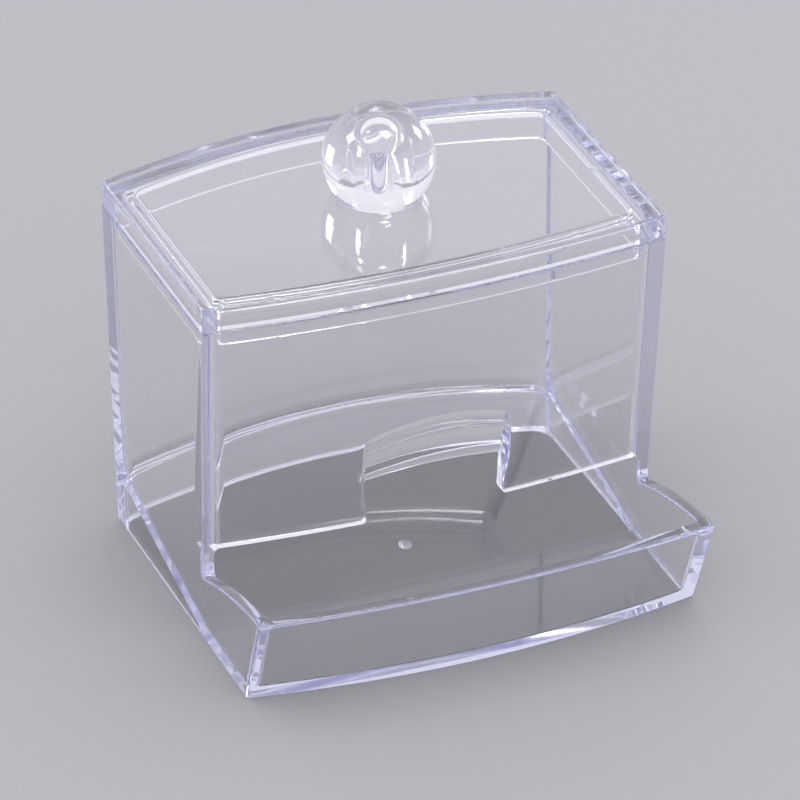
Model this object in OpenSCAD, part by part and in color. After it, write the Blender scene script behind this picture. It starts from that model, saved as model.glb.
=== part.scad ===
// Clear moulded box for cotton swabs and small toiletries, with a lift-off lid and a ball knob.
// The frame: X runs across the width, -Y is the front with the open tray, Z is up, z = 0 is the table.

/* [Box] */
// Width over the side walls at the rim
box_w = 93; // [70:1:130]
// Height of the walls, from the table to the rim that carries the lid
box_h = 68.4; // [55:0.2:100]
// Depth of the chamber at its corners, measured at the rim
chamber_d = 51.6; // [40:0.2:80]
// Thickness of the walls
wall_t = 2.6; // [1.8:0.1:3.4]
// Outward bow of the back wall
back_bow = 7.3; // [3:0.1:12]
// Outward bow of the front wall
front_bow = 3.2; // [1:0.1:6]
// Lean of the side walls from upright, in degrees, narrower at the table
side_lean = 0.7; // [0:0.1:1.5]
// Lean of the front and back walls from upright, in degrees, narrower at the table
end_lean = 3.1; // [0:0.1:4]
// Radius of the upright corners inside the box
corner_r = 2.4; // [1:0.1:5]
// Radius of the upright corners outside, on the box and the lid
edge_r = 0.6; // [0.3:0.1:1.2]

/* [Floor] */
// Thickness of the floor
floor_t = 2.5; // [1.5:0.1:3.5]
// Slope of the chamber floor, in degrees, falling towards the tray
floor_slope = 12.9; // [6:0.1:15]

/* [Tray] */
// Reach of the tray's top corners in front of the chamber's rim corners
tray_reach = 26.4; // [20:0.2:45]
// Height of the tray's front wall
tray_h = 20.4; // [18:0.1:26]
// Height of the tray's side walls where they meet the chamber
tray_side_h = 13.6; // [8:0.1:17]
// Outward bow of the tray's front wall along its top
tray_bow_top = 2.9; // [1:0.1:5]
// Outward bow of the tray's front wall along its foot
tray_bow_foot = 4.7; // [1:0.1:6]
// How far the foot of the tray's front wall stands behind its top, at the corners
tray_flare = 7.6; // [2:0.1:10]
// Rise of the side walls' top edge above a straight line, at its middle
tray_crown = 0.9; // [0.2:0.1:1.6]
// Radius of the upright corners inside the tray
tray_corner_r = 0.8; // [0.5:0.1:3]

/* [Slot and notch] */
// Height of the front wall's lower edge above the table
slot_z = 19.7; // [17:0.1:24]
// Width of the finger notch
notch_w = 27.6; // [20:0.2:40]
// Height of the notch's sides above the front wall's lower edge, at the inner face
notch_h = 8.4; // [6:0.1:14]
// Height of the scoop's sides above the notch, on the outer face
scoop_h = 10.7; // [6:0.1:16]
// Rise of the scoop's arched top at its middle
scoop_arch = 2.4; // [1:0.1:4]
// Flare of the scoop's sides, on the outer face
scoop_flare = 1.1; // [0.4:0.1:2]

/* [Lid] */
// Height of the lid's rim
lid_h = 4.8; // [3.6:0.1:8]
// Thickness of the lid's plate
plate_t = 2.4; // [1.6:0.1:3]
// Length of the lip that reaches down inside the box
lip_h = 4.5; // [3:0.1:7]
// Thickness of the lip
lip_t = 1.4; // [1:0.1:2]
// Gap between the lip and the walls of the box
lip_gap = 0.35; // [0.25:0.05:0.8]
// How far the small ribs stand out of the lip
rib_out = 0.25; // [0.1:0.05:0.25]
// Distance of the outer ribs of the front and back from the middle one
rib_pitch = 30.6; // [20:0.2:34]

/* [Knob] */
// Diameter of the ball
ball_d = 21.5; // [18:0.1:28]
// Diameter of the flat foot of the ball
foot_d = 15.8; // [12:0.1:16]
// Diameter of the hollow at the foot
hollow_d = 9.2; // [6:0.1:10]
// Diameter of the hollow where its domed end starts
hollow_top_d = 7.6; // [5:0.1:8]
// Thickness of the ball above the hollow
crown_t = 4.4; // [2:0.1:6]

/* [Hidden] */
$fn = 96;
over = 1;
bow_steps = 32;
corner_steps = 6;
clear_plastic = [0.82, 0.84, 0.90, 0.45];

// Places along Y, with the middle of the whole depth at zero.
total_d = back_bow + chamber_d + tray_reach + tray_bow_top;
back_y = total_d / 2 - back_bow;
front_y = back_y - chamber_d;
tray_y = front_y - tray_reach;
middle_y = (back_y + front_y) / 2;
knob_y = middle_y + (back_bow - front_bow) / 2;
slot_y = front_y + tan(end_lean) * (box_h - slot_z);
// The chamber floor comes down to the table under the middle of the front wall's lower edge.
kink_y = slot_y + wall_t / 2;
lid_top = box_h + lid_h;
lip_inset = wall_t + lip_gap;
notch_z = slot_z + notch_h;
scoop_z = notch_z + scoop_h;

// Half the width at height z.
function half_w(z) = box_w / 2 - tan(side_lean) * (box_h - z);
// Corner lines of the back and front walls at height z.
function back_at(z) = back_y - tan(end_lean) * (box_h - z);
function front_at(z) = front_y + tan(end_lean) * (box_h - z);
// Corner line and bow of the tray's front wall at height z.
function tray_at(z) = tray_y + tray_flare * (1 - z / tray_h);
function tray_bow(z) = tray_bow_foot + (tray_bow_top - tray_bow_foot) * z / tray_h;
// How far an edge with this bow stands out at x, if it ends at x = -w and x = w.
function bow_at(x, w, bow) = bow * (1 - pow(x / w, 2));
function reversed(list) = [for (i = [len(list) - 1:-1:0]) list[i]];

// Right half of a bowed edge at y with its rounded corner, from the middle outwards.
// For an edge that bows towards -Y, y and bow are given with their signs turned and so is the result.
function half_edge(w, y, bow, r) =
    let (
        slope = atan(2 * bow / w),
        centre = [w - r, y + r * tan(slope) - r / cos(slope)],
        reach = centre[0] + r * sin(slope)
    )
    concat(
        [for (i = [0:bow_steps / 2 - 1]) let (x = reach * 2 * i / bow_steps) [x, y + bow_at(x, w, bow)]],
        [for (i = [0:corner_steps]) let (a = (90 - slope) * (1 - i / corner_steps)) centre + r * [cos(a), sin(a)]]
    );

// Closed outline between a front and a back edge, moved inwards by inset, with corners of radius r.
function outline(w, y_front, bow_front, y_back, bow_back, inset, r) =
    let (
        back = half_edge(w - inset, y_back - inset, bow_back, r),
        front = [for (p = half_edge(w - inset, -y_front - inset, bow_front, r)) [p[0], -p[1]]],
        right = concat(front, reversed(back)),
        left = [for (i = [len(right) - 2:-1:1]) [-right[i][0], right[i][1]]]
    )
    concat(right, left);

// Outlines at height z: of the chamber, and of the tray, which reaches back to the chamber's middle.
function chamber_outline(z, inset = 0, r = edge_r) =
    outline(half_w(z), front_at(z), front_bow, back_at(z), back_bow, inset, r);
function tray_outline(z, inset = 0, r = edge_r) =
    outline(half_w(z), tray_at(z), tray_bow(z), middle_y + inset, 0, inset, r);

// Solid between two outlines with as many points, at heights z0 and z1.
module loft(lower, upper, z0, z1) {
    n = len(lower);
    polyhedron(
        points = concat([for (p = lower) [p[0], p[1], z0]], [for (p = upper) [p[0], p[1], z1]]),
        faces = concat(
            [[for (i = [0:n - 1]) i]],
            [[for (i = [n - 1:-1:0]) n + i]],
            [for (i = [0:n - 1]) [i, n + i, n + (i + 1) % n]],
            [for (i = [0:n - 1]) [i, n + (i + 1) % n, (i + 1) % n]]
        )
    );
}

// A shape drawn in the YZ plane, run across the width.
module across(width) {
    rotate([90, 0, 90]) translate([0, 0, -width / 2]) linear_extrude(width) children();
}

// The four walls of the chamber. The front one stops above the floor, between the side walls.
module chamber_walls() {
    slot_w = 2 * (half_w(0) - wall_t);
    slot_d = front_at(0) + wall_t + corner_r - tray_y;
    difference() {
        loft(chamber_outline(0), chamber_outline(box_h), 0, box_h);
        loft(
            chamber_outline(-over, wall_t, corner_r), chamber_outline(box_h + over, wall_t, corner_r),
            -over, box_h + over
        );
        translate([-slot_w / 2, tray_y, -over]) cube([slot_w, slot_d, slot_z + over]);
    }
}

// The tray's walls, cut to the curved top edge of its sides.
module tray_walls() {
    difference() {
        loft(tray_outline(0), tray_outline(tray_h), 0, tray_h);
        loft(
            tray_outline(-over, wall_t, tray_corner_r), tray_outline(tray_h + over, wall_t, tray_corner_r),
            -over, tray_h + over
        );
        // The tray runs back into the chamber's side walls, which stand in the same planes.
        translate([-box_w / 2, front_at(0) + wall_t / 2, -over]) cube([box_w, chamber_d, tray_h + 2 * over]);
        across(box_w + 2 * over) tray_side_cut();
    }
}

// The region above the tray's side walls: their top edge climbs from the chamber to the front corner.
module tray_side_cut() {
    y0 = front_at(tray_side_h);
    y1 = tray_y + wall_t;
    edge = [
        for (i = [0:bow_steps]) let (s = i / bow_steps)
            [y0 + (y1 - y0) * s, tray_side_h + (tray_h - tray_side_h) * s + 4 * tray_crown * s * (1 - s)]
    ];
    polygon(concat([[y0 + wall_t, tray_side_h]], edge, [[y1, tray_h + over], [y0 + wall_t, tray_h + over]]));
}

// The floor: flat under the tray, then sloping up to the back wall.
module floor_slab() {
    run = back_y + back_bow - kink_y;
    rise = run * tan(floor_slope);
    floor_v = floor_t / cos(floor_slope);
    foot_y = tray_y - tray_bow_foot;
    intersection() {
        across(box_w)
            polygon([
                [foot_y, 0], [kink_y, 0], [kink_y + run, rise], [kink_y + run, rise + floor_v],
                [kink_y - (floor_v - floor_t) / tan(floor_slope), floor_t], [foot_y, floor_t]
            ]);
        // Ends within the thickness of the walls.
        linear_extrude(box_h)
            polygon(outline(half_w(0), tray_at(0), tray_bow_foot, back_at(0), back_bow, wall_t / 4, edge_r));
    }
}

// The finger notch in the front wall's lower edge, with the scoop that runs out of the wall above it.
module notch_cut() {
    half = notch_w / 2;
    y_out = slot_y - front_bow - wall_t;
    y_in = slot_y + 2 * wall_t;
    // How far the bowed face stands out where it meets the notch's sides.
    side_bow = bow_at(half, half_w(notch_z), front_bow);
    translate([-half, y_out, slot_z - over]) cube([notch_w, y_in - y_out, notch_h + over]);
    hull() {
        translate([0, front_at(0) - side_bow, 0]) rotate([90 + end_lean, 0, 0])
            linear_extrude(wall_t) scoop_outline();
        translate([-half, front_at(notch_z) - side_bow + wall_t, notch_z - scoop_h / 2])
            cube([notch_w, over / 100, scoop_h / 2]);
    }
}

// The scoop's outline on the outer face: an arched top between flared sides.
module scoop_outline() {
    half = notch_w / 2;
    arch = [
        for (i = [-bow_steps / 2:bow_steps / 2]) let (x = notch_w * i / bow_steps)
            [x, scoop_z + bow_at(x, half, scoop_arch)]
    ];
    side = [
        for (i = [1:bow_steps - 1]) let (s = i / bow_steps)
            [half + 4 * scoop_flare * s * (1 - s), scoop_z - s * (scoop_z - slot_z)]
    ];
    polygon(concat(arch, side, [[half, slot_z], [-half, slot_z]], reversed([for (p = side) [-p[0], p[1]]])));
}

module box() {
    color(clear_plastic)
    difference() {
        union() {
            chamber_walls();
            tray_walls();
            floor_slab();
        }
        notch_cut();
    }
}

// The lip leans with the walls that it stands in. Each rib is a place at its foot, and the lean of its wall:
// three ribs stand at the front, three at the back and one at each side.
lip_z = box_h - lip_h;
rib_z = lip_z + rib_out;
lip_w = half_w(rib_z) - lip_inset;
ribs = concat(
    [for (x = [-rib_pitch, 0, rib_pitch])
        [[x, back_at(rib_z) - lip_inset + bow_at(x, lip_w, back_bow), rib_z], [-end_lean, 0, 0]]],
    [for (x = [-rib_pitch, 0, rib_pitch])
        [[x, front_at(rib_z) + lip_inset - bow_at(x, lip_w, front_bow), rib_z], [end_lean, 0, 0]]],
    [for (side = [-1, 1]) [[side * lip_w, middle_y, rib_z], [0, side * side_lean, 0]]]
);

module lid() {
    color(clear_plastic)
    difference() {
        union() {
            translate([0, 0, box_h]) linear_extrude(lid_h) polygon(chamber_outline(box_h));
            loft(
                chamber_outline(lip_z, lip_inset, corner_r), chamber_outline(box_h + over, lip_inset, corner_r),
                lip_z, box_h + over
            );
            for (rib = ribs)
                translate(rib[0]) rotate(rib[1]) cylinder(r = rib_out, h = box_h + over - rib_z, $fn = 24);
        }
        translate([0, 0, box_h - lip_h - over]) linear_extrude(lip_h + over + lid_h - plate_t)
            polygon(chamber_outline(box_h, lip_inset + lip_t, corner_r));
    }
}

// The ball, cut flat at its foot and hollowed from below by a tapered bore with a domed end.
module knob() {
    ball_r = ball_d / 2;
    centre_z = sqrt(pow(ball_r, 2) - pow(foot_d / 2, 2));
    dome_z = centre_z + ball_r - crown_t - hollow_top_d / 2;
    taper = (hollow_d - hollow_top_d) / dome_z;
    color(clear_plastic)
    translate([0, knob_y, lid_top])
    difference() {
        intersection() {
            translate([0, 0, centre_z]) sphere(ball_r);
            cylinder(r = ball_d, h = ball_d);
        }
        translate([0, 0, -over]) cylinder(d1 = hollow_d + taper * over, d2 = hollow_top_d, h = dome_z + over);
        translate([0, 0, dome_z]) sphere(d = hollow_top_d);
    }
}

box();
lid();
knob();
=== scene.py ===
"""Looks of the lidded cosmetics organizer box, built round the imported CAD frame.

The frame is the CAD's: X across the width, -Y the front with the tray, Z up, in metres.
The shapes are worked out in millimetres, from the sizes below, and scaled once when a mesh is made.
"""

import math

import bmesh
import bpy
from mathutils import Matrix, Vector


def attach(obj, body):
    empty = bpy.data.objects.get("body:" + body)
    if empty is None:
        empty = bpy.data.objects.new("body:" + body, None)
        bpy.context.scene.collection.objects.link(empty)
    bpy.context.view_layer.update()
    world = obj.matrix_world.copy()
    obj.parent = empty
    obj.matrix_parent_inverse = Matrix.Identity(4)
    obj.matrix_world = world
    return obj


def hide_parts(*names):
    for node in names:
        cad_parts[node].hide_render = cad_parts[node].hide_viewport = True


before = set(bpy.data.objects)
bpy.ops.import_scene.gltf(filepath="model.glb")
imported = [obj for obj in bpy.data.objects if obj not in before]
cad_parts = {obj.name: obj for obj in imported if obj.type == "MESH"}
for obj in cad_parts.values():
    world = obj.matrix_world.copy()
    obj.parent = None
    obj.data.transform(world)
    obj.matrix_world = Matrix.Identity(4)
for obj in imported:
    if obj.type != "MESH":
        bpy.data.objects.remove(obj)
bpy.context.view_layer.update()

# Sizes, in millimetres. LEAN and RISE are slopes.
MM = 0.001
BOX_W, BOX_H, CHAMBER_D, WALL = 93.0, 68.4, 51.6, 2.6
BACK_BOW, FRONT_BOW = 7.3, 3.2
SIDE_LEAN, END_LEAN = math.tan(math.radians(0.7)), math.tan(math.radians(3.1))
CORNER_R = 2.4
FLOOR_T, FLOOR_RISE = 2.5, math.tan(math.radians(12.9))
TRAY_REACH, TRAY_H, TRAY_SIDE_H = 26.4, 20.4, 13.6
TRAY_BOW_TOP, TRAY_BOW_FOOT, TRAY_FLARE, TRAY_CROWN = 2.9, 4.7, 7.6, 0.9
SLOT_Z = 19.7
NOTCH_HALF, NOTCH_Z, NOTCH_RISE = 13.8, 28.1, 1.2
SCOOP_Z, SCOOP_RISE, SCOOP_FLARE, SCOOP_HOLLOW = 38.8, 2.4, 1.1, 0.25
LID_H, PLATE_T, LIP_H, LIP_T, LIP_GAP = 4.8, 2.4, 4.5, 1.4, 0.35
RIB_OUT, RIB_HALF, RIB_PITCH = 0.25, 0.55, 30.6
TRAY_CORNER_R = 0.8
BALL_D, FOOT_D, HOLLOW_D, HOLLOW_TOP_D, CROWN_T = 21.5, 15.8, 9.2, 7.6, 4.4

EDGE_R = 0.5            # rounding of the long moulded edges
LOW_EDGE_R = 0.2        # rounding of the front wall's lower edge beside the notch
SCOOP_RIPPLE = 0.14     # two shallow waves down the scoop's face
SCOOP_EDGE_R = 0.2      # rounding of the scoop's lower edge
CHEEK_FOOT_Z = 23.0     # height at which the cheek's flare has died out
CHEEK_REACH = 2.0       # distance from the notch at which the flare has died out
GATE_D, GATE_T = 2.6, 0.3
GATE_Y = -1.0           # the gate's place on the underside of the sloped floor
GATE_GAP = 0.02         # air between the gate mark and the floor
RIM_R = 0.6             # rounding of the outer edges
SIDE_R = 0.55           # rounding of the side walls' outer edges
FLOOR_FILLET = 5.0      # between the sloped floor and the back wall
BEND_R = 8.0            # where the floor starts to climb
TRAY_FOOT_R = 1.2       # between the floor and the tray's front wall
UNDER_BEND_R = 1.0      # the bend on the floor's underside
UNDER_BACK_R = 0.8      # the top of the open wedge, at the back wall
CREASE_R = 0.7          # between the floor and the side walls
NOTCH_CORNER_R = 1.0    # lower corners of the front wall
POST_R = 1.0            # where the posts run into the tray's side walls
SEAT_GAP = 0.05         # air between the lid and the rim, and under the foot and the knob
FAR = 99.0              # a distance at which nothing of the notch is felt

LID_CORNER_R = 0.8      # the lid's upright outer corners
LID_TOP_R, LID_UNDER_R = 0.7, 0.35
LIP_ROOT_R, LIP_EDGE_R, CEILING_R = 0.25, 0.45, 0.9
BLEND_W = 2.2           # inset over which the corners change from the lid's radius to the box's

KNOB_FOOT_Z = 0.35      # height at which the ball's foot is rounded off
HOLLOW_EDGE = 0.5       # rounding of the hollow's mouth
WELD = 2e-6             # points nearer than this are one, in metres

BACK_Y = (BACK_BOW + CHAMBER_D + TRAY_REACH + TRAY_BOW_TOP) / 2 - BACK_BOW
FRONT_Y = BACK_Y - CHAMBER_D
TRAY_Y = FRONT_Y - TRAY_REACH
MIDDLE_Y = (BACK_Y + FRONT_Y) / 2
KNOB_Y = MIDDLE_Y + (BACK_BOW - FRONT_BOW) / 2
KINK_Y = FRONT_Y + END_LEAN * (BOX_H - SLOT_Z) + WALL / 2
FLOOR_V = FLOOR_T * math.hypot(1, FLOOR_RISE)
LID_TOP = BOX_H + LID_H
LIP_INSET = WALL + LIP_GAP
RIM_Z = BOX_H - SEAT_GAP


def half_w(z):
    return BOX_W / 2 - SIDE_LEAN * (BOX_H - z)


def inner_w(z):
    return half_w(z) - WALL


def back_at(z):
    return BACK_Y - END_LEAN * (BOX_H - z)


def front_at(z):
    return FRONT_Y + END_LEAN * (BOX_H - z)


def tray_at(z):
    return TRAY_Y + TRAY_FLARE * (1 - z / TRAY_H)


def tray_bow(z):
    return TRAY_BOW_FOOT + (TRAY_BOW_TOP - TRAY_BOW_FOOT) * z / TRAY_H


def side_top(y):
    """Height of the tray's side wall at y: it climbs from the chamber to the front corner."""
    y0, y1 = front_at(TRAY_SIDE_H), TRAY_Y + WALL
    s = (y - y0) / (y1 - y0)
    if s >= 1:
        return TRAY_H
    return TRAY_SIDE_H + (TRAY_H - TRAY_SIDE_H) * s + 4 * TRAY_CROWN * s * (1 - s)


def corner_fill(distance, radius):
    """How far a fillet of this radius reaches into a corner, at a distance from the other wall."""
    d = min(distance, radius)
    return radius - math.sqrt(max(radius ** 2 - (radius - d) ** 2, 0))


def rounded(before, corner, after, radius, steps):
    """Points of the arc that rounds a corner between two straight lines."""
    a, p, b = Vector(before), Vector(corner), Vector(after)
    to_a, to_b = (a - p).normalized(), (b - p).normalized()
    half = to_a.angle(to_b) / 2
    centre = p + (to_a + to_b).normalized() * (radius / math.sin(half))
    start = p + to_a * (radius / math.tan(half)) - centre
    end = p + to_b * (radius / math.tan(half)) - centre
    sweep = math.pi - 2 * half
    return [
        centre + (start * math.sin((1 - t) * sweep) + end * math.sin(t * sweep)) / math.sin(sweep)
        for t in (i / steps for i in range(steps + 1))
    ]


# Making meshes
class Shell:
    """Collects points and faces of one piece, in millimetres."""

    def __init__(self):
        self.points, self.faces, self.sharp = [], [], []

    def add(self, points):
        first = len(self.points)
        self.points += [tuple(p) for p in points]
        return list(range(first, len(self.points)))

    def bridge(self, a, b, closed=True):
        n = len(a)
        for i in range(n if closed else n - 1):
            j = (i + 1) % n
            self.faces.append((a[i], a[j], b[j], b[i]))

    def face(self, ring):
        self.faces.append(tuple(ring))

    def mirror(self):
        """Adds the other half, across the YZ plane."""
        n = len(self.points)
        self.points += [(-x, y, z) for x, y, z in self.points[:n]]
        self.faces += [tuple(n + i for i in reversed(f)) for f in self.faces[:]]
        self.sharp += [(n + a, n + b) for a, b in self.sharp[:]]

    def mesh(self, name):
        """The faces as a mesh, in metres, with the creases that were asked for."""
        mesh = bpy.data.meshes.new(name)
        faces = [f for f in self.faces if len(set(f)) > 2]
        mesh.from_pydata([tuple(Vector(p) * MM) for p in self.points], [], faces)
        creases = {tuple(sorted(edge)) for edge in self.sharp}
        for edge in mesh.edges:
            edge.use_edge_sharp = tuple(sorted(edge.vertices)) in creases
        settle(mesh)
        return mesh


def settle(mesh, angle=40):
    """Joins doubled points, turns all faces outwards, and smooths all but the creases."""
    bm = bmesh.new()
    bm.from_mesh(mesh)
    bmesh.ops.remove_doubles(bm, verts=bm.verts, dist=WELD)
    bmesh.ops.dissolve_degenerate(bm, edges=bm.edges, dist=1e-6)
    bmesh.ops.recalc_face_normals(bm, faces=bm.faces)
    for face in bm.faces:
        face.smooth = True
    for edge in bm.edges:
        if len(edge.link_faces) == 2 and edge.calc_face_angle(0) > math.radians(angle):
            edge.smooth = False
    bm.to_mesh(mesh)
    bm.free()


# Geometry Nodes
class Tree:
    """A Geometry Nodes tree with named inputs, built node by node."""

    def __init__(self, name, sizes):
        self.tree = bpy.data.node_groups.new(name, "GeometryNodeTree")
        face = self.tree.interface
        face.new_socket("Geometry", in_out="INPUT", socket_type="NodeSocketGeometry")
        for label, value in sizes.items():
            kind = "NodeSocketInt" if isinstance(value, int) else "NodeSocketFloat"
            face.new_socket(label, in_out="INPUT", socket_type=kind).default_value = value
        face.new_socket("Material", in_out="INPUT", socket_type="NodeSocketMaterial")
        face.new_socket("Geometry", in_out="OUTPUT", socket_type="NodeSocketGeometry")
        self.start = self.tree.nodes.new("NodeGroupInput")
        self.column = 0

    def node(self, kind, ins=(), **settings):
        """Adds a node. ins gives its inputs in order: a socket, a plain value, or None to skip."""
        made = self.tree.nodes.new(kind)
        self.column += 1
        made.location = (self.column * 180, -220 * (self.column % 4))
        for name, value in settings.items():
            setattr(made, name, value)
        for socket, value in zip([i for i in made.inputs if i.enabled], ins):
            if isinstance(value, bpy.types.NodeSocket):
                self.tree.links.new(value, socket)
            elif value is not None:
                socket.default_value = value
        return made

    def math(self, operation, *ins):
        return self.node("ShaderNodeMath", ins, operation=operation).outputs[0]

    def size(self, label):
        return self.start.outputs[label]

    def end(self, geometry):
        """Closes the tree: instances made real, the material set."""
        real = self.node("GeometryNodeRealizeInstances", (geometry,))
        dressed = (real.outputs[0], None, self.size("Material"))
        done = self.node("GeometryNodeSetMaterial", dressed)
        self.node("NodeGroupOutput", (done.outputs[0],))


def turned_tree():
    """Turns a profile, given as points in order with X as radius, about an upright axis."""
    tree = Tree("Turned about an axis", {"Turns": 96, "Axis Y": 0.0})
    profile = tree.size("Geometry")
    count = tree.node("GeometryNodeAttributeDomainSize", (profile,)).outputs["Point Count"]
    around = tree.math("ADD", tree.size("Turns"), 1.0)
    grid = tree.node("GeometryNodeMeshGrid", (1.0, 1.0, around, count))
    place = tree.node("GeometryNodeInputPosition").outputs[0]
    across = tree.node("ShaderNodeSeparateXYZ", (place,)).outputs
    angle = tree.math("MULTIPLY", tree.math("ADD", across[0], 0.5), 2 * math.pi)
    last = tree.math("SUBTRACT", count, 1.0)
    index = tree.math("ROUND", tree.math("MULTIPLY", tree.math("ADD", across[1], 0.5), last))
    point = tree.node(
        "GeometryNodeSampleIndex", (profile, place, index), data_type="FLOAT_VECTOR", domain="POINT"
    )
    sides = tree.node("ShaderNodeSeparateXYZ", (point.outputs[0],)).outputs
    x = tree.math("MULTIPLY", sides[0], tree.math("COSINE", angle))
    y = tree.math("MULTIPLY_ADD", sides[0], tree.math("SINE", angle), tree.size("Axis Y"))
    there = tree.node("ShaderNodeCombineXYZ", (x, y, sides[2])).outputs[0]
    moved = tree.node("GeometryNodeSetPosition", (grid.outputs[0], None, there)).outputs[0]
    whole = tree.node("GeometryNodeMergeByDistance", (moved,))
    whole.inputs["Distance"].default_value = WELD
    tree.end(whole.outputs[0])
    return tree.tree


def rib_tree():
    """Raises small upright ribs on the lip's outer face: three front and back, one at each side."""
    tree = Tree("Small ribs on the lip", {
        "Rib Height": RIB_OUT * MM, "Rib Half Width": RIB_HALF * MM, "Rib Pitch": RIB_PITCH * MM,
        "Middle Y": MIDDLE_Y * MM, "Lip Top": (BOX_H - LIP_ROOT_R) * MM,
    })
    position = tree.node("GeometryNodeInputPosition").outputs[0]
    place = tree.node("ShaderNodeSeparateXYZ", (position,)).outputs
    normal = tree.node("GeometryNodeInputNormal").outputs[0]
    facing = tree.node("ShaderNodeSeparateXYZ", (normal,)).outputs
    x, y, z = place[0], tree.math("SUBTRACT", place[1], tree.size("Middle Y")), place[2]
    near_middle = tree.math("ABSOLUTE", x)
    near_outer = tree.math("ABSOLUTE", tree.math("SUBTRACT", near_middle, tree.size("Rib Pitch")))
    ends = tree.math("MINIMUM", near_middle, near_outer)
    on_side = tree.math("GREATER_THAN", tree.math("ABSOLUTE", facing[0]), 0.7)
    to_side = tree.math("SUBTRACT", tree.math("ABSOLUTE", y), ends)
    distance = tree.math("MULTIPLY_ADD", on_side, to_side, ends)
    share = tree.math("DIVIDE", distance, tree.size("Rib Half Width"))
    rest = tree.math("SUBTRACT", 1.0, tree.math("POWER", share, 2.0))
    round_out = tree.math("SQRT", tree.math("MAXIMUM", rest, 0.0))
    out_x, out_y = tree.math("MULTIPLY", facing[0], x), tree.math("MULTIPLY", facing[1], y)
    outward = tree.math("ADD", out_x, out_y)
    below = tree.math("LESS_THAN", z, tree.size("Lip Top"))
    mask = tree.math("MULTIPLY", below, tree.math("GREATER_THAN", outward, 0.0))
    push = tree.math("MULTIPLY", tree.math("MULTIPLY", round_out, mask), tree.size("Rib Height"))
    level = tree.node("ShaderNodeCombineXYZ", (facing[0], facing[1], 0.0)).outputs[0]
    step = tree.node("ShaderNodeVectorMath", (level,), operation="SCALE")
    tree.tree.links.new(push, step.inputs["Scale"])
    pushed = (tree.size("Geometry"), None, None, step.outputs[0])
    moved = tree.node("GeometryNodeSetPosition", pushed)
    tree.end(moved.outputs[0])
    return tree.tree


def grown(name, base, tree, material, **sizes):
    """Runs a tree on a base mesh and gives back the result as a plain mesh."""
    obj = bpy.data.objects.new(name, base)
    bpy.context.scene.collection.objects.link(obj)
    modifier = obj.modifiers.new(tree.name, "NODES")
    modifier.node_group = tree
    values = {key.replace("_", " ").title(): value for key, value in sizes.items()}
    values["Material"] = material
    for socket in tree.interface.items_tree:
        if socket.in_out == "INPUT" and socket.name in values:
            modifier[socket.identifier] = values[socket.name]
    graph = bpy.context.evaluated_depsgraph_get()
    mesh = bpy.data.meshes.new_from_object(
        obj.evaluated_get(graph), preserve_all_data_layers=True, depsgraph=graph
    )
    obj.modifiers.remove(modifier)
    bpy.data.objects.remove(obj)
    mesh.name = name
    settle(mesh)
    return mesh


def piece_of(name, mesh):
    """An object for a finished mesh, with the shading led by its large faces."""
    obj = bpy.data.objects.new(name, mesh)
    bpy.context.scene.collection.objects.link(obj)
    weigh = obj.modifiers.new("Flat faces lead", "WEIGHTED_NORMAL")
    weigh.mode, weigh.weight, weigh.keep_sharp = "FACE_AREA", 50, True
    return obj


# The box
EVEN_STEPS, FILLET_STEPS = 22, 9
WIDE = inner_w(NOTCH_Z)


def shares():
    """Places across the half width, as shares of it: even, then close in the corner."""
    last = 1 - CORNER_R / WIDE
    even = [last * i / EVEN_STEPS for i in range(EVEN_STEPS + 1)]
    turns = [i / FILLET_STEPS * math.pi / 2 for i in range(1, FILLET_STEPS + 1)]
    return even + [1 - CORNER_R * (1 - math.sin(turn)) / WIDE for turn in turns]


def shell_section(u):
    """Floor, back wall and the tray's front wall, cut at share u of the inner half width."""
    gap = (1 - u) * WIDE
    fill, lift = corner_fill(gap, CORNER_R), corner_fill(gap, CREASE_R)
    tray_fill = corner_fill(gap, TRAY_CORNER_R)

    def back_out(z):
        return back_at(z) + BACK_BOW * (1 - (u * inner_w(z) / half_w(z)) ** 2)

    def back_in(z):
        return back_at(z) - WALL + BACK_BOW * (1 - u * u) - fill

    def tray_out(z):
        return tray_at(z) - tray_bow(z) * (1 - (u * inner_w(z) / half_w(z)) ** 2)

    def tray_in(z):
        return tray_at(z) + WALL - tray_bow(z) * (1 - u * u) + tray_fill

    def on_back(z0):
        """Where the back wall's inner face meets the slope that passes z0 at the kink."""
        z = 10.0
        for _ in range(30):
            z = z0 + (back_in(z) - KINK_Y) * FLOOR_RISE
        return back_in(z), z

    rim_in = tray_in(TRAY_H)
    rim_z = side_top(rim_in)
    corners = [
        ((back_out(0), SEAT_GAP), RIM_R, 4),
        ((back_out(RIM_Z), RIM_Z), RIM_R, 5),
        ((back_in(RIM_Z), RIM_Z), EDGE_R, 5),
        (on_back(FLOOR_V + lift), FLOOR_FILLET, 10),
        ((KINK_Y - (FLOOR_V - FLOOR_T) / FLOOR_RISE, FLOOR_T + lift), BEND_R, 4),
        ((tray_in(FLOOR_T + lift), FLOOR_T + lift), TRAY_FOOT_R, 6),
        ((rim_in, rim_z), EDGE_R, 5),
        ((tray_out(TRAY_H), TRAY_H), RIM_R, 5),
        ((tray_out(0), SEAT_GAP), RIM_R, 5),
        ((KINK_Y, SEAT_GAP), UNDER_BEND_R, 2),
        (on_back(SEAT_GAP), UNDER_BACK_R, 5),
        ((back_in(0), SEAT_GAP), EDGE_R, 5),
    ]
    arcs = []
    for i, (corner, radius, steps) in enumerate(corners):
        before, after = corners[i - 1][0], corners[(i + 1) % len(corners)][0]
        arcs.append(rounded(before, corner, after, radius, steps))
    # One more point on the floor's underside, as high above the foot as the edges are rounded.
    arcs.insert(10, [Vector((KINK_Y + EDGE_R / FLOOR_RISE, SEAT_GAP + EDGE_R))])
    return arcs


SCOOP_STEPS = 14


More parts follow.
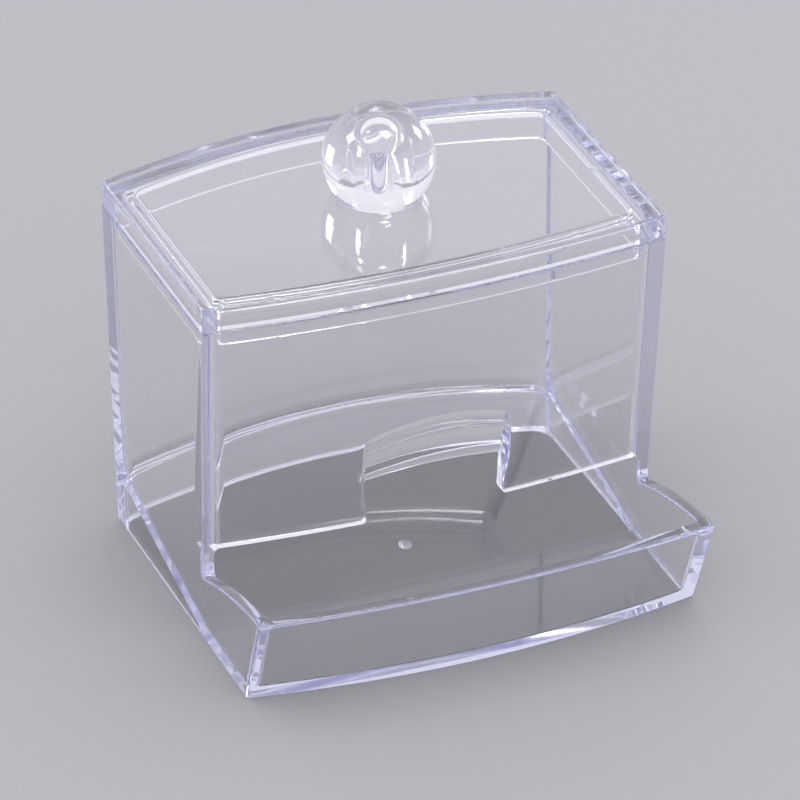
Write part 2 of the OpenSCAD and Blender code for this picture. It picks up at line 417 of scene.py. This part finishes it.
def front_section(u, notch=False, cut=0.0, past=FAR):
    """The front wall, cut at share u. In the notch its lower part is the scoop.

    cut rounds the notch's cheek, and past is the distance from it.
    """
    gap = (1 - u) * WIDE
    fill = corner_fill(gap, CORNER_R)
    x = min(u * WIDE / NOTCH_HALF, 1.0)
    top = SCOOP_Z + (SCOOP_RISE * (1 - x * x) if notch else 0.0)
    if notch:
        low = NOTCH_Z + NOTCH_RISE * (1 - x * x)
    else:
        # Rounded up beside the notch and down beside the posts.
        low = SLOT_Z + corner_fill(past, NOTCH_CORNER_R) - corner_fill(gap, NOTCH_CORNER_R)

    def out(z):
        return front_at(z) - FRONT_BOW * (1 - (u * inner_w(z) / half_w(z)) ** 2)

    def inn(z):
        return front_at(z) + WALL - FRONT_BOW * (1 - u * u) + fill

    def cut_at(z):
        """Rounding of the cheek's edge, fading out towards the top of the scoop."""
        return min(cut, 0.3 * max(top - z, 0) * WALL / (SCOOP_Z - NOTCH_Z))

    if notch:
        under, edge_r = ((inn(low) - 0.5, low), (inn(low), low)), SCOOP_EDGE_R
        line = []
        start, end = Vector((out(top), top)), Vector(under[0])
        for k in range(SCOOP_STEPS):
            s = k / SCOOP_STEPS
            hollow = 4 * SCOOP_HOLLOW * s * (1 - s) + SCOOP_RIPPLE * math.sin(4 * math.pi * s)
            line.append(start.lerp(end, s) + Vector((0.8, 0.3)) * hollow)
    else:
        under, edge_r = ((out(low) + cut_at(low), low), (inn(low), low)), LOW_EDGE_R
        line = []
        for k in range(SCOOP_STEPS):
            z = top + (low + 2 * EDGE_R - top) * k / SCOOP_STEPS
            line.append(Vector((out(z) + cut_at(z), z)))
    rim = ((inn(RIM_Z), RIM_Z), (out(RIM_Z), RIM_Z))
    arcs = [
        rounded((inn(0), 0), rim[0], rim[1], EDGE_R, 5),
        rounded(rim[0], rim[1], (out(0), 0), RIM_R, 5),
        line,
        rounded(line[-1], under[0], under[1], edge_r, 5),
        rounded(under[0], under[1], rim[0], edge_r, 5),
    ]
    return arcs


def flat(arcs):
    return [p for arc in arcs for p in arc]


def lifted(points, u, flare=None):
    """A section's points as points in space, at share u. flare widens them."""
    return [
        (u * inner_w(p[1]) + (flare(p) if flare else 0.0), p[0], p[1]) for p in points
    ]


def cheek_flare(p):
    """The scoop's sides stand wider on the outer face, most at their middle."""
    y, z = p
    s = (SCOOP_Z - z) / (SCOOP_Z - CHEEK_FOOT_Z)
    if not 0 < s < 1:
        return 0.0
    depth = (y - (front_at(z) - FRONT_BOW)) / WALL
    return 4 * SCOOP_FLARE * s * (1 - s) * max(0.0, min(1.0, 1.1 - depth))


def box_shell():
    shell = Shell()
    places = shares()

    # Floor, back wall and tray wall.
    rings = []
    for u in places:
        arcs = shell_section(u)
        rings.append(shell.add(lifted(flat(arcs), u)))
    for a, b in zip(rings, rings[1:]):
        shell.bridge(a, b)
    floor_ring, floor_arcs = rings[-1], arcs

    # Front wall inside the notch.
    rings = []
    for i in range(13):
        u = NOTCH_HALF * math.sin(i / 12 * math.pi / 2) / WIDE
        arcs = front_section(u, notch=True)
        rings.append(shell.add(lifted(flat(arcs), u)))
    for a, b in zip(rings, rings[1:]):
        shell.bridge(a, b)
    crest = len(arcs[0]) + len(arcs[1])  # where the scoop starts on the outer face
    shell.sharp += [(a[crest], b[crest]) for a, b in zip(rings, rings[1:])]
    notch_ring, joint_z = rings[-1], arcs[4][-1][1]

    # Front wall beside the notch, with one more point where the notch's inner face ends.
    rings, u0 = [], NOTCH_HALF / WIDE
    beside = [
        (0.0, 0.5), (0.04, 0.3), (0.15, 0.15), (0.3, 0.05),
        (0.5, 0.0), (0.75, 0.0), (1.0, 0.0), (CHEEK_REACH, 0.0),
    ]
    stops = [(u0 + d / WIDE, cut, d) for d, cut in beside]
    stops += [(u, 0.0, FAR) for u in places if u > u0 + 3.0 / WIDE]
    for u, cut, past in stops:
        arcs = front_section(u, cut=cut, past=past)
        # The flare fades out away from the cheek.
        fade = max(0.0, 1 - past / CHEEK_REACH)
        inner = front_at(joint_z) + WALL - FRONT_BOW * (1 - u * u)
        inner += corner_fill((1 - u) * WIDE, CORNER_R)
        points = flat(arcs) + [Vector((inner, joint_z))]
        rings.append(shell.add(lifted(points, u, lambda p: fade * cheek_flare(p))))
    for a, b in zip(rings, rings[1:]):
        shell.bridge(a, b)
    front_ring, front_arcs = rings[-1], arcs

    # The notch's cheek: between the wall's edge and the scoop, then flat down to the lower edge.
    side, last = rings[0], crest + SCOOP_STEPS - 1
    shell.bridge(side[crest:last + 1], notch_ring[crest:last + 1], closed=False)
    shell.face(side[last:] + list(reversed(notch_ring[last:])))

    close_sides(shell, floor_ring, floor_arcs, front_ring, front_arcs)
    shell.mirror()
    return shell


def close_sides(shell, floor_ring, floor_arcs, front_ring, front_arcs):
    """The side wall: its inner faces round the sections' ends, its edges and its outer face."""
    floor_of, front_of = [], []
    for arcs, found, ring in (
        (floor_arcs, floor_of, floor_ring),
        (front_arcs, front_of, front_ring),
    ):
        start = 0
        for arc in arcs:
            found.append(ring[start:start + len(arc)])
            start += len(arc)
    joint = front_ring[-1]

    # Free edges, as points on the finished outline with the direction into the wall.
    def run(a, b, n):
        return [Vector(a).lerp(Vector(b), i / (n + 1)) for i in range(1, n + 1)]

    rim_back, rim_front = floor_arcs[2][-1], front_arcs[0][0]
    rim = [(Vector((p[0], RIM_Z)), Vector((0, -1))) for p in run(rim_back, rim_front, 10)]

    post_top = front_arcs[3][-1]

    def post(z):
        return front_at(z) - FRONT_BOW * (1 - (inner_w(z) / half_w(z)) ** 2)

    foot_y, curve_z = post(TRAY_SIDE_H), TRAY_SIDE_H + 1.2
    corner, beyond = (foot_y, TRAY_SIDE_H + 0.06), (foot_y - 2, side_top(foot_y - 2))
    turn = rounded((post(SLOT_Z), SLOT_Z), corner, beyond, POST_R, 5)
    tray_in = floor_arcs[6][0]
    curve = [foot_y - 2 - i * (foot_y - 2 - tray_in[0] - 0.6) / 13 for i in range(14)]
    post_z = (post_top[1] - 1.2, (post_top[1] + curve_z) / 2)
    path = [Vector((post(z), z)) for z in post_z]
    path += list(turn) + [Vector((y, side_top(y))) for y in curve]
    edge = []
    for i, p in enumerate(path):
        along = path[min(i + 1, len(path) - 1)] - path[max(i - 1, 0)]
        edge.append((p, Vector((-along[1], along[0])).normalized()))
    if edge[0][1][0] < 0:
        edge = [(p, -n) for p, n in edge]
    foot = run((KINK_Y + EDGE_R / FLOOR_RISE, 0), (floor_arcs[12][0][0], 0), 8)
    foot = [(Vector((p[0], SEAT_GAP)), Vector((0, 1))) for p in foot]

    # The outline: (index at the inner face or None, inset point, finished point, bow of its face).
    outline = []

    def keep(indices, points, bow, finish=None):
        for i, p in zip(indices, points):
            outline.append((i, Vector(p), Vector(finish(p)) if finish else Vector(p), bow))

    def free(edges, bow):
        for p, n in edges:
            outline.append((None, p + n * EDGE_R, p, bow))

    def to_rim(p):
        return p[0], RIM_Z

    def to_foot(p):
        return p[0], SEAT_GAP

    def back(z):
        return -BACK_BOW

    def front(z):
        return FRONT_BOW

    def none(z):
        return 0.0

    keep(floor_of[0], floor_arcs[0], back)
    keep(floor_of[1], floor_arcs[1], back)
    keep(floor_of[2], floor_arcs[2], back, to_rim)
    free(rim, none)
    keep(front_of[0], front_arcs[0], front, to_rim)
    keep(front_of[1], front_arcs[1], front)
    keep(front_of[2], front_arcs[2], front)
    keep(front_of[3], front_arcs[3], front, lambda p: (post(p[1]), p[1]))
    free(edge, front)
    keep(floor_of[6], floor_arcs[6], tray_bow, lambda p: (p[0], side_top(p[0])))
    keep(floor_of[7], floor_arcs[7], tray_bow)
    keep(floor_of[8], floor_arcs[8], tray_bow)
    keep(floor_of[9], floor_arcs[9], none, to_foot)
    keep(floor_of[10], floor_arcs[10], none, to_foot)
    free(foot, none)
    keep(floor_of[12], floor_arcs[12], back, to_foot)

    first = []
    for index, inset, _, _ in outline:
        if index is None:
            index = shell.add([(inner_w(inset[1]), inset[0], inset[1])])[0]
        first.append(index)
    place = {}
    for name, group in (("rim", rim), ("edge", edge), ("foot", foot)):
        start = group[0][0]
        at = next(k for k, o in enumerate(outline) if o[0] is None and (o[2] - start).length < 1e-6)
        place[name] = first[at:at + len(group)]

    # Inner faces: the chamber with the tray, and the wedge under the floor.
    shell.face(
        floor_of[2][-1:] + floor_of[3] + floor_of[4] + floor_of[5] + floor_of[6][:1]
        + list(reversed(place["edge"])) + front_of[3][-1:] + front_of[4] + [joint] + front_of[0][:1]
        + list(reversed(place["rim"]))
    )
    shell.face(floor_of[10] + floor_of[11] + floor_of[12][:1] + list(reversed(place["foot"])))

    def section(share, x_of, inset):
        """The outline at one place through the wall.

        x_of gives its x at a height, and share is how much of the inner rounding is left.
        """
        points = []
        for _, start, finish, bow in outline:
            p = finish.lerp(start, share)
            x = x_of(p[1])
            spread = (x / half_w(p[1])) ** 2 - (inner_w(p[1]) / half_w(p[1])) ** 2
            points.append(Vector((p[0] + bow(p[1]) * spread, p[1])))
        if inset:
            n = len(points)
            moved = []
            for i in range(n):
                back_dir = (points[i] - points[i - 1]).normalized()
                next_dir = (points[(i + 1) % n] - points[i]).normalized()
                n1, n2 = Vector((-back_dir[1], back_dir[0])), Vector((-next_dir[1], next_dir[0]))
                normal = (n1 + n2).normalized()
                moved.append(points[i] + normal * inset * turning / max(normal.dot(n1), 0.5))
            points = moved
        return [(x_of(p[1]), p[0], p[1]) for p in points]

    ends = [o[2] for o in outline]
    area = sum(a[0] * b[1] - a[1] * b[0] for a, b in zip(ends, ends[1:] + ends[:1]))
    turning = 1 if area > 0 else -1
    ring = first
    steps = 4
    for k in range(1, steps + 1):
        angle = k / steps * math.pi / 2
        x_in = EDGE_R * (1 - math.cos(angle))
        after = shell.add(section(1 - math.sin(angle), lambda z: inner_w(z) + x_in, 0))
        shell.bridge(ring, after)
        ring = after
    for k in range(steps + 1):
        angle = k / steps * math.pi / 2
        x_out = SIDE_R * (1 - math.sin(angle))
        inwards = SIDE_R * (1 - math.cos(angle))
        after = shell.add(section(0, lambda z: half_w(z) - x_out, inwards))
        shell.bridge(ring, after)
        ring = after
    shell.face(ring)


# The lid
def lid_outline(inset, radius, z):
    """The lid's outline, moved inwards by inset, with rounded corners.

    Below the rim it leans with the walls.
    """
    z = min(z, BOX_H)
    w = half_w(z) - inset

    def half_edge(y, bow):
        slope = math.atan(2 * bow / w)
        cx, cy = w - radius, y + radius * math.tan(slope) - radius / math.cos(slope)
        reach = cx + radius * math.sin(slope)
        xs = [reach * i / 36 for i in range(36)]
        for rib in (0.0, RIB_PITCH):
            for k in range(-4, 5):
                x = rib + k * RIB_HALF / 4
                if x > 0:
                    near = min(range(len(xs)), key=lambda i: abs(xs[i] - x))
                    xs[near] = x
        xs = sorted(set(xs))
        while len(xs) < 36:
            wide = max(range(len(xs) - 1), key=lambda i: xs[i + 1] - xs[i])
            xs.insert(wide + 1, (xs[wide] + xs[wide + 1]) / 2)
        points = []
        for x in xs:
            points.append((x, y + bow * (1 - (x / w) ** 2)))
        for i in range(9):
            a = (math.pi / 2 - slope) * (1 - i / 8)
            points.append((cx + radius * math.cos(a), cy + radius * math.sin(a)))
        return points

    back = half_edge(back_at(z) - inset, BACK_BOW)
    front = [(x, -y) for x, y in half_edge(-front_at(z) - inset, FRONT_BOW)]
    side = [(w, MIDDLE_Y + k * RIB_HALF / 4) for k in range(-4, 5)]
    right = front + side + list(reversed(back))
    return right + [(-x, y) for x, y in reversed(right[1:-1])]


def lid_shell():
    shell = Shell()
    lip_z = BOX_H - LIP_H
    cave = LIP_INSET + LIP_T
    ceiling = LID_TOP - PLATE_T
    profile = []

    def arc(centre, radius, start, end, steps):
        for i in range(steps + 1):
            a = math.radians(start + (end - start) * i / steps)
            profile.append((centre[0] + radius * math.cos(a), centre[1] + radius * math.sin(a)))

    # From the top's flat, over the outer edge, under the rim, round the lip and up into the hollow.
    arc((LID_TOP_R, LID_TOP - LID_TOP_R), LID_TOP_R, 90, 180, 6)
    arc((LID_UNDER_R, BOX_H + LID_UNDER_R), LID_UNDER_R, 180, 270, 4)
    arc((LIP_INSET - LIP_ROOT_R, BOX_H - LIP_ROOT_R), LIP_ROOT_R, 90, 0, 4)
    arc((LIP_INSET + LIP_EDGE_R, lip_z + LIP_EDGE_R), LIP_EDGE_R, 180, 270, 4)
    arc((cave - LIP_EDGE_R, lip_z + LIP_EDGE_R), LIP_EDGE_R, 270, 360, 4)
    arc((cave + CEILING_R, ceiling - CEILING_R), CEILING_R, 180, 90, 6)
    rings = []
    for inset, z in profile:
        blend = min(1.0, max(0.0, (inset - LID_TOP_R) / BLEND_W))
        radius = LID_CORNER_R + (CORNER_R - LID_CORNER_R) * blend
        # The hollow's walls stand upright.
        lean_z = z if inset < LIP_INSET + LIP_T / 2 else BOX_H
        rings.append(shell.add([(x, y, z) for x, y in lid_outline(inset, radius, lean_z)]))
    for a, b in zip(rings, rings[1:]):
        shell.bridge(a, b)
    shell.face(rings[0])
    shell.face(list(reversed(rings[-1])))
    return shell


# The knob and the gate mark
def profile_mesh(name, points):
    """A profile as a mesh of points: X is the radius, Z the height, both given in millimetres."""
    mesh = bpy.data.meshes.new(name)
    edges = [(i, i + 1) for i in range(len(points) - 1)]
    mesh.from_pydata([(r * MM, 0.0, z * MM) for r, z in points], edges, [])
    return mesh


def knob_profile():
    """The ball from its pole to its flat foot, then up the tapered hollow that a core pin left."""
    ball_r, foot_r = BALL_D / 2, FOOT_D / 2
    centre = math.sqrt(ball_r ** 2 - foot_r ** 2)
    crown = centre + ball_r
    base, low = SEAT_GAP, KNOB_FOOT_Z + SEAT_GAP
    # The gate left a small round groove at the pole.
    groove = ((0.0, 0.02), (0.3, 0.02), (0.4, 0.1), (0.52, 0.1), (0.62, 0.02))
    points = [(r, crown - depth) for r, depth in groove]
    start, end = math.acos(0.8 / ball_r), math.asin((low - centre) / ball_r)
    for i in range(57):
        a = start + (end - start) * i / 56
        points.append((ball_r * math.cos(a), centre + ball_r * math.sin(a)))
    rim_r = points[-1][0]
    points += [(rim_r - 0.05, base + 0.15), (rim_r - 0.15, base + 0.04), (rim_r - 0.35, base)]
    top_r, dome_z = HOLLOW_TOP_D / 2, crown - CROWN_T - HOLLOW_TOP_D / 2
    foot = HOLLOW_D / 2
    points += [(foot + HOLLOW_EDGE, base), (foot + 0.2, base + 0.05)]
    points += [(foot + 0.05, base + 0.2), (foot - 0.05, base + HOLLOW_EDGE)]
    for i in range(1, 9):
        t = i / 9
        z = base + HOLLOW_EDGE + (dome_z - base - HOLLOW_EDGE) * t
        points.append((foot + (top_r - foot) * t, z))
    for i in range(25):
        a = i / 24 * math.pi / 2
        points.append((top_r * math.cos(a), dome_z + top_r * math.sin(a)))
    points[-1] = (0.0, points[-1][1])
    return [(r, LID_TOP + z) for r, z in points]


def gate_profile():
    """The broken gate: a low rounded button."""
    r, t = GATE_D / 2, GATE_T
    button = [(0.0, 0.0), (r - 0.12, 0.0), (r - 0.03, 0.03), (r, 0.09), (r - 0.1, 0.18)]
    return button + [(r * 0.6, 0.22), (r * 0.45, 0.27), (r * 0.3, t), (0.0, t)]


def gate_place():
    """Under the sloped floor, its flat side to the floor."""
    height = (GATE_Y - KINK_Y) * FLOOR_RISE + SEAT_GAP
    slope = math.atan(FLOOR_RISE)
    tilt = Matrix.Rotation(slope + math.pi, 4, "X")
    down = Vector((0, math.sin(slope), -math.cos(slope))) * GATE_GAP
    return Matrix.Translation((Vector((0, GATE_Y, height)) + down) * MM) @ tilt


# Materials
def new_node(tree, kind, x, y, **inputs):
    made = tree.nodes.new(kind)
    made.location = (x, y)
    for name, value in inputs.items():
        made.inputs[name.replace("_", " ")].default_value = value
    return made


def flow_group():
    """Faint waves and fine marks that moulding and handling leave in clear plastic."""
    tree = bpy.data.node_groups.new("Moulding marks", "ShaderNodeTree")
    face = tree.interface
    wave_in = face.new_socket("Wave Scale", in_out="INPUT", socket_type="NodeSocketFloat")
    wave_in.default_value = 60.0
    mark_in = face.new_socket("Mark Scale", in_out="INPUT", socket_type="NodeSocketFloat")
    mark_in.default_value = 900.0
    rough_in = face.new_socket("Least Roughness", in_out="INPUT", socket_type="NodeSocketFloat")
    rough_in.default_value = 0.015
    face.new_socket("Height", in_out="OUTPUT", socket_type="NodeSocketFloat")
    face.new_socket("Roughness", in_out="OUTPUT", socket_type="NodeSocketFloat")
    links = tree.links
    start = new_node(tree, "NodeGroupInput", -900, 0)
    end = new_node(tree, "NodeGroupOutput", 500, 0)
    place = new_node(tree, "ShaderNodeTexCoord", -900, 300)
    wave = new_node(tree, "ShaderNodeTexNoise", -600, 200, Detail=1.0, Roughness=0.4)
    fine = new_node(tree, "ShaderNodeTexNoise", -600, -150, Detail=3.0, Roughness=0.6)
    links.new(place.outputs["Object"], wave.inputs["Vector"])
    links.new(place.outputs["Object"], fine.inputs["Vector"])
    links.new(start.outputs["Wave Scale"], wave.inputs["Scale"])
    links.new(start.outputs["Mark Scale"], fine.inputs["Scale"])
    smear = new_node(tree, "ShaderNodeMapRange", -300, -150)
    smear.inputs["From Min"].default_value = 0.45
    smear.inputs["From Max"].default_value = 0.8
    smear.inputs["To Max"].default_value = 0.05
    links.new(fine.outputs["Fac"], smear.inputs["Value"])
    total = new_node(tree, "ShaderNodeMath", -50, -150)
    total.operation = "ADD"
    links.new(smear.outputs["Result"], total.inputs[0])
    links.new(start.outputs["Least Roughness"], total.inputs[1])
    links.new(wave.outputs["Fac"], end.inputs["Height"])
    links.new(total.outputs["Value"], end.inputs["Roughness"])
    return tree


def clear_plastic(name, tint, flow, wave=60.0, strength=0.05, least_rough=0.015):
    """Clear moulded styrene. Lamps reach through it, so that its shadow stays light.

    wave is the scale of the moulding waves, and strength their bump.
    """
    mat = bpy.data.materials.new(name)
    mat.use_nodes = True
    tree = mat.node_tree
    tree.nodes.clear()
    links = tree.links
    out = new_node(tree, "ShaderNodeOutputMaterial", 700, 0)
    skin = new_node(tree, "ShaderNodeBsdfPrincipled", 100, 100)
    skin.inputs["Base Color"].default_value = (*tint, 1)
    skin.inputs["Transmission Weight"].default_value = 1.0
    skin.inputs["IOR"].default_value = 1.57
    marks = new_node(tree, "ShaderNodeGroup", -400, 0)
    marks.node_tree = flow
    marks.inputs["Wave Scale"].default_value = wave
    marks.inputs["Least Roughness"].default_value = least_rough
    links.new(marks.outputs["Roughness"], skin.inputs["Roughness"])
    bump = new_node(tree, "ShaderNodeBump", -150, -200)
    bump.inputs["Strength"].default_value = strength
    bump.inputs["Distance"].default_value = 0.0006
    links.new(marks.outputs["Height"], bump.inputs["Height"])
    links.new(bump.outputs["Normal"], skin.inputs["Normal"])
    clear = new_node(tree, "ShaderNodeBsdfTransparent", 100, -250)
    clear.inputs["Color"].default_value = (0.96, 0.96, 0.97, 1)
    path = new_node(tree, "ShaderNodeLightPath", 100, 450)
    mix = new_node(tree, "ShaderNodeMixShader", 450, 0)
    links.new(path.outputs["Is Shadow Ray"], mix.inputs["Fac"])
    links.new(skin.outputs["BSDF"], mix.inputs[1])
    links.new(clear.outputs["BSDF"], mix.inputs[2])
    links.new(mix.outputs["Shader"], out.inputs["Surface"])
    # Long ways through the plastic turn lavender, so the edges do and the faces don't.
    depth = new_node(tree, "ShaderNodeVolumeAbsorption", 450, -250, Density=10.0)
    depth.inputs["Color"].default_value = (0.70, 0.70, 0.90, 1)
    links.new(depth.outputs["Volume"], out.inputs["Volume"])
    return mat


# Pieces
flow = flow_group()
styrene = clear_plastic("Clear styrene, walls", (0.975, 0.975, 0.99), flow)
lid_styrene = clear_plastic("Clear styrene, lid", (0.975, 0.975, 0.99), flow, wave=45.0)
knob_styrene = clear_plastic(
    "Clear styrene, knob", (0.985, 0.985, 0.995), flow, wave=120.0, strength=0.02
)

torn_styrene = clear_plastic(
    "Torn styrene, gate", (0.97, 0.97, 0.985), flow, wave=1500.0, strength=0.6, least_rough=0.45
)

turned = turned_tree()
knob_line = profile_mesh("knob_profile", knob_profile())
knob_mesh = grown("knob", knob_line, turned, knob_styrene, axis_y=KNOB_Y * MM)
lid_mesh = grown("lid", lid_shell().mesh("lid_base"), rib_tree(), lid_styrene)
box_mesh = box_shell().mesh("box")
box_mesh.materials.append(styrene)
gate_line = profile_mesh("gate_profile", gate_profile())
gate_mesh = grown("gate_mark", gate_line, turned, torn_styrene, turns=48)
gate_mesh.transform(gate_place())

for name, mesh, node, slot in (
    ("organizer_box", box_mesh, "box", "clear_box"),
    ("organizer_lid", lid_mesh, "lid", "clear_lid"),
    ("organizer_knob", knob_mesh, "knob", "clear_knob"),
    ("organizer_gate_mark", gate_mesh, None, "clear_box"),
):
    piece = piece_of(name, mesh)
    if node:
        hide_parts(node)
    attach(piece, "root")

# Floor, light and camera
def plain(name, colour, rough=0.6):
    """A plain pale finish."""
    mat = bpy.data.materials.new(name)
    mat.use_nodes = True
    skin = mat.node_tree.nodes["Principled BSDF"]
    skin.inputs["Base Color"].default_value = (*colour, 1)
    skin.inputs["Roughness"].default_value = rough
    skin.inputs["Specular IOR Level"].default_value = 0.2
    return mat


bpy.ops.mesh.primitive_plane_add(size=16, location=(0, 0, 0))
ground = bpy.context.object
ground.name = "studio_floor"
ground.data.materials.append(plain("Pale floor", (0.50, 0.50, 0.52)))

scene = bpy.context.scene
world = bpy.data.worlds.new("Soft studio")
scene.world = world
world.use_nodes = True
sky = world.node_tree.nodes["Background"]
sky.inputs["Color"].default_value = (0.94, 0.94, 1.0, 1)
# Mirrors and clear plastic see a white room, and the floor gets a softer light from it.
seen = new_node(world.node_tree, "ShaderNodeLightPath", -700, 0)
either = new_node(world.node_tree, "ShaderNodeMath", -500, 0)
either.operation = "MAXIMUM"
level = new_node(world.node_tree, "ShaderNodeMapRange", -250, 0)
level.inputs["To Min"].default_value = 0.75
level.inputs["To Max"].default_value = 1.0
world.node_tree.links.new(seen.outputs["Is Glossy Ray"], either.inputs[0])
world.node_tree.links.new(seen.outputs["Is Transmission Ray"], either.inputs[1])
world.node_tree.links.new(either.outputs[0], level.inputs["Value"])
world.node_tree.links.new(level.outputs["Result"], sky.inputs["Strength"])


def softbox(name, place, target, size, power):
    lamp = bpy.data.lights.new(name, "AREA")
    lamp.shape, lamp.size, lamp.size_y, lamp.energy = "RECTANGLE", size[0], size[1], power
    obj = bpy.data.objects.new(name, lamp)
    obj.location = place
    obj.rotation_euler = (Vector(target) - Vector(place)).to_track_quat("-Z", "Y").to_euler()
    scene.collection.objects.link(obj)
    return obj


softbox("Key softbox", (-0.60, 0.30, 0.60), (0, 0, 0.04), (0.26, 0.22), 1.3)
softbox("Top softbox", (0.10, -0.20, 0.85), (0, 0, 0.05), (0.22, 0.22), 1.2)
softbox("Right softbox", (0.75, 0.15, 0.35), (0, 0, 0.05), (0.22, 0.22), 1.2)

camera = bpy.data.cameras.new("Photo camera")
camera.lens, camera.sensor_width = 292.5, 36.0
camera.clip_start, camera.clip_end = 0.05, 30.0
eye = bpy.data.objects.new("Photo camera", camera)
eye.matrix_world = Matrix((
    (0.920780, 0.198227, -0.335961, -0.41172),
    (-0.389987, 0.486799, -0.781625, -0.95589),
    (0.008607, 0.850725, 0.525541, 0.67795),
    (0, 0, 0, 1),
))
scene.collection.objects.link(eye)
scene.camera = eye

scene.view_settings.view_transform = "Standard"
scene.cycles.max_bounces = 112
scene.cycles.transmission_bounces = 112
scene.cycles.glossy_bounces = 112
scene.cycles.transparent_max_bounces = 64
scene.cycles.caustics_reflective = False
scene.cycles.caustics_refractive = False
